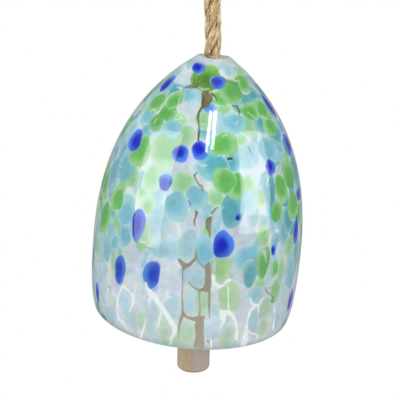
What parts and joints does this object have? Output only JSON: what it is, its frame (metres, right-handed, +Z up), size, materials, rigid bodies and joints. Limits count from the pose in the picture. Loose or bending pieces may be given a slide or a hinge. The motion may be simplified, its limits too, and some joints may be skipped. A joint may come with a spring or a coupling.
{
  "type": "glass wind chime",
  "caption": "Blown speckled glass bell on a jute rope with a hanging loop, struck from inside by a wooden dowel that swings on a twine below a stopper knot.",
  "frame": {"origin": "the point at the inner top of the hanging loop that rests on a hook", "axes": "+Z up along the plumb line, +X to the right and +Y away from someone who faces the bell"},
  "size_m": [0.126, 0.1252, 0.3372],
  "materials": {
    "glass": "clear blown glass over milky, aqua, green and cobalt colour chips, glossy",
    "jute": "three-strand natural jute rope, matt and a little hairy",
    "twine": "thin brown twine, matt",
    "wood": "plain weathered dowel, unvarnished"
  },
  "bodies": {
    "rope": {"hanging_loop": "jute", "loop_whipping": "twine"},
    "bend": {"rope_bend": "jute"},
    "knot": {"rope_throat": "jute", "stopper_knot": "jute"},
    "bell": {"glass_bell": "glass"},
    "twine_root": {"twine_root": "twine"},
    "clapper": {"clapper_twine": "twine", "clapper_dowel": "wood"}
  },
  "joints": [
    {"name": "rope_sway_fore", "type": "hinge", "parent": "rope", "child": "bend", "pos_m": [0.0041, 0, -0.109], "axis": [1, 0, 0], "range_deg": [-25, 25], "deforming": ["rope_bend"]},
    {"name": "rope_sway_side", "type": "hinge", "parent": "bend", "child": "knot", "pos_m": [0.0041, 0, -0.109], "axis": [0, 1, 0], "range_deg": [-25, 25], "deforming": ["rope_bend"]},
    {"name": "bell_turn", "type": "hinge", "parent": "knot", "child": "bell", "pos_m": [0.0054, 0, -0.128], "axis": [0.0619, 0, 0.9981], "continuous": true},
    {"name": "clapper_turn", "type": "hinge", "parent": "knot", "child": "twine_root", "pos_m": [-0.00243, -0.00014, -0.171], "axis": [0, 0, 1], "continuous": true},
    {"name": "clapper_swing", "type": "hinge", "parent": "twine_root", "child": "clapper", "pos_m": [-0.00243, -0.00014, -0.17624], "axis": [0, 1, 0], "range_deg": [-19, 19]}
  ]
}
